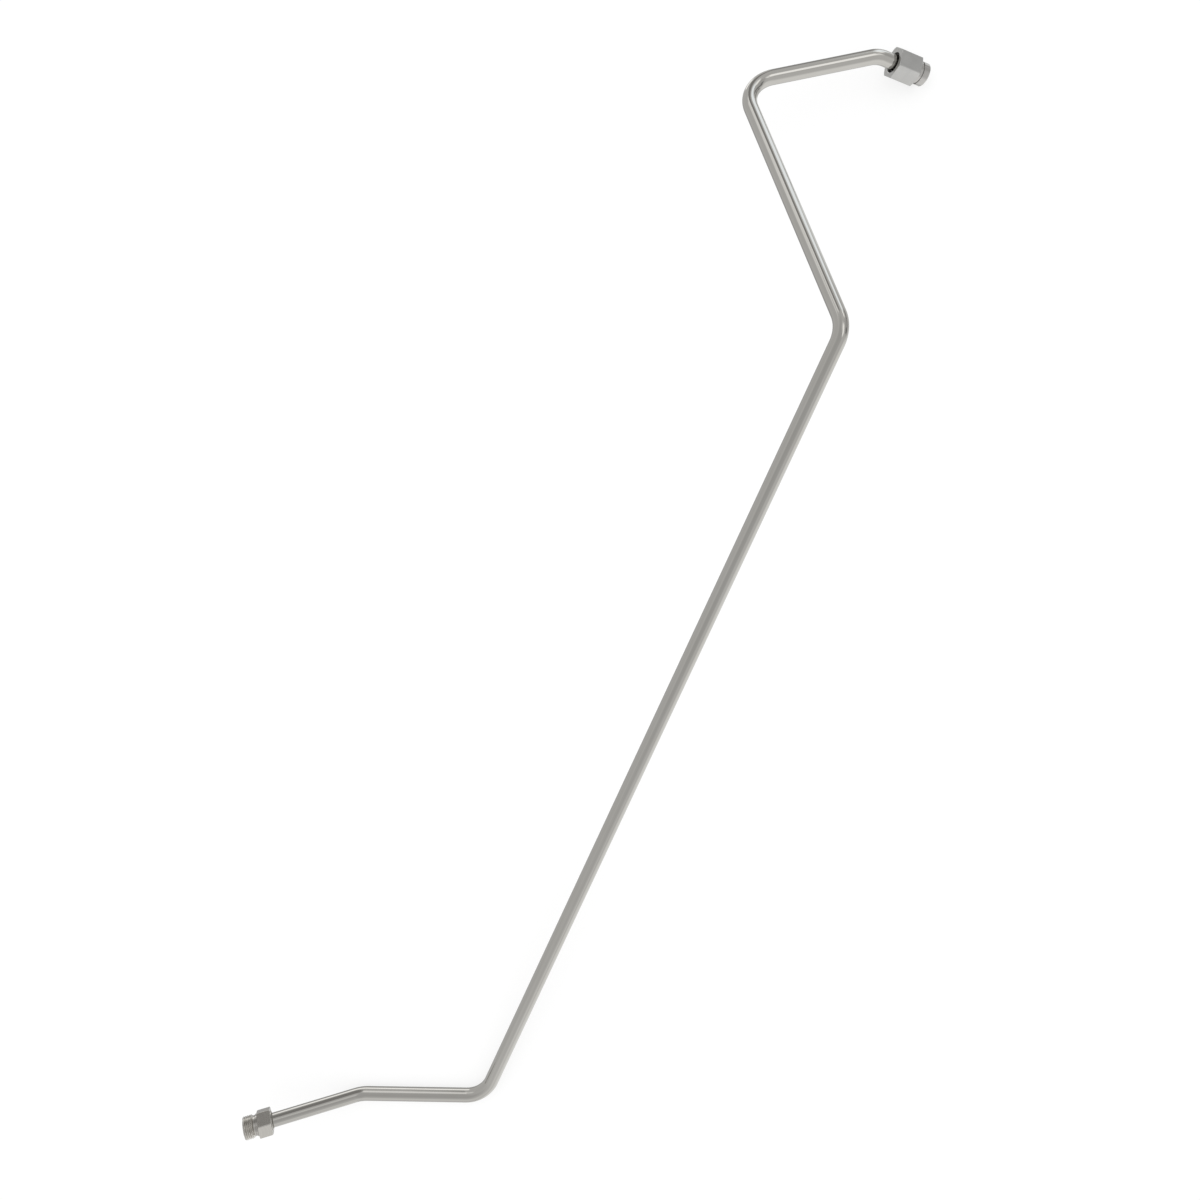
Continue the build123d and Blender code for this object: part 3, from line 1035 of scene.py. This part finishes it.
# name, azimuth, elevation, half width, half height, softness, level, warmth
PANELS = (
    ("ceiling", 0, 89, 0.60, 0.60, 0.5, 0.61, 1.0),
    ("front wall", -112, 22, 0.8, 0.60, 0.6, 0.80, 1.0),
    ("front glow", -112, -30, 0.9, 0.85, 0.45, 1.13, 1.0),
    ("left glow", 180, 20, 0.5, 0.40, 0.6, 0.97, 1.0),
    ("floor shade", 105, -64, 0.6, 0.35, 0.5, 0.5, 1.0),
    ("bench glow", -141, 27, 0.2, 0.2, 0.4, 0.98, 1.0),
    ("ceiling glow", -12, 63, 0.16, 0.12, 0.5, 0.92, 1.0),
    ("side card", 30, 15, 0.19, 0.32, 0.15, 0.33, 1.03),
    ("side card top", 27, 36, 0.13, 0.13, 0.4, 0.33, 1.03),
    ("side box", 47, 34, 0.09, 0.22, 0.2, 1.25, 1.0),
    ("upper box", 65, 32, 0.20, 0.12, 0.5, 1.15, 1.0),
    ("low box", 48, -24, 0.14, 0.17, 0.25, 1.7, 1.0),
    ("low card", 18, -18, 0.09, 0.38, 0.2, 0.40, 1.0),
    ("nut card", -42, 22, 0.25, 0.30, 0.4, 0.62, 1.0),
    ("dark corner", -42, -1, 0.42, 0.10, 0.3, 0.25, 1.0),
    ("dark post", -57, 8, 0.10, 0.25, 0.3, 0.3, 1.0),
    ("key wing", -45, 44, 0.18, 0.06, 0.4, 1.25, 1.0),
    ("strip box", -14, 27, 0.15, 0.09, 0.2, 1.6, 1.0),
    ("window foot", -12, -32, 0.12, 0.35, 0.3, 1.05, 0.97),
    ("window box", -3, 7, 0.17, 0.32, 0.2, 1.65, 0.90),
    ("key box", -43, 55, 0.23, 0.12, 0.3, 1.6, 1.0),
)


def direction(azimuth, elevation):
    """Unit vector: azimuth from +X towards +Y, elevation up from the floor."""
    azimuth, elevation = math.radians(azimuth), math.radians(elevation)
    level = math.cos(elevation)
    return Vector((math.cos(azimuth) * level, math.sin(azimuth) * level, math.sin(elevation)))


def dot(tree, seen, axis):
    """Dot product of the direction that a ray goes in and a fixed axis."""
    product = add_node(tree, "ShaderNodeVectorMath", {0: seen, 1: axis}, operation="DOT_PRODUCT")
    return product.outputs["Value"]


def panel_mask(tree, seen, azimuth, elevation, half_width, half_height, softness):
    """Soft rectangle on the tent, 1 inside: both tangents from its middle under their halves."""
    ahead = direction(azimuth, elevation)
    across = Vector((-ahead.y, ahead.x, 0)).normalized()
    above = ahead.cross(across)
    depth = dot(tree, seen, ahead)
    mask = ranged(tree, depth, *FRONT_ENDS)
    for axis, half in ((across, half_width), (above, half_height)):
        tangent = reckon(tree, "DIVIDE", dot(tree, seen, axis), depth)
        ends = (half * (1 + softness), half * (1 - softness))
        inside = ranged(tree, reckon(tree, "ABSOLUTE", tangent), *ends, interpolation_type="SMOOTHSTEP")
        mask = reckon(tree, "MULTIPLY", mask, inside)
    return mask


def studio_tent():
    """World of the tent and its panels for glossy rays, and of plain white for the others."""
    world = bpy.data.worlds.new("studio_tent")
    bpy.context.scene.world = world
    world.use_nodes = True
    tree = world.node_tree
    tree.nodes.clear()
    seen = add_node(tree, "ShaderNodeTexCoord").outputs["Generated"]
    light = (TENT_LEVEL, TENT_LEVEL, TENT_LEVEL)
    for _, *rectangle, level, warmth in PANELS:
        mask = panel_mask(tree, seen, *rectangle)
        light = blend_colours(tree, mask, light, (level * warmth, level * (1 + warmth) / 2, level))
    path = add_node(tree, "ShaderNodeLightPath").outputs
    mirrored = add_node(tree, "ShaderNodeBackground", {"Color": light}).outputs[0]
    plain = add_node(tree, "ShaderNodeBackground", {"Color": (1.0, 1.0, 1.0, 1.0)}).outputs[0]
    shown = add_node(tree, "ShaderNodeMixShader", {0: path["Is Glossy Ray"], 1: plain, 2: mirrored})
    add_node(tree, "ShaderNodeOutputWorld", {"Surface": shown.outputs[0]})
    world.cycles.sampling_method = "NONE"
    print(len(PANELS), "panels on the tent")


studio_tent()

# %% [markdown]
# ## Camera
#
# The photograph looks almost straight down from less than a metre, with a wide
# view. The camera's place, the floor point it looks at and the direction that
# is up in the picture came from fitting the tube's corners to the photograph.

# %% Camera
# Both points in millimetres, both angles in degrees.
CAMERA_AT = (50.30, -90.80, 957.32)
LOOKS_AT = (12.10, 4.90, 0.0)
PICTURE_UP = 24.99
FIELD_OF_VIEW = 60.0

lens = bpy.data.cameras.new("camera")
lens.sensor_fit = "HORIZONTAL"
lens.angle = math.radians(FIELD_OF_VIEW)
lens.clip_start, lens.clip_end = 0.01, 50.0
camera = bpy.data.objects.new("camera", lens)
bpy.context.scene.collection.objects.link(camera)
forward = (Vector(LOOKS_AT) - Vector(CAMERA_AT)).normalized()
right = forward.cross(direction(PICTURE_UP, 0)).normalized()
turn = Matrix((right, right.cross(forward), -forward)).transposed()
camera.matrix_world = Matrix.Translation(Vector(CAMERA_AT) * MM) @ turn.to_4x4()
bpy.context.scene.camera = camera
bpy.context.scene.view_settings.view_transform = "Standard"
print("lens", round(lens.lens, 2), "mm")

# %% The size of what is drawn
low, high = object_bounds()
print("visual size in mm", [round(side / MM, 1) for side in high - low])
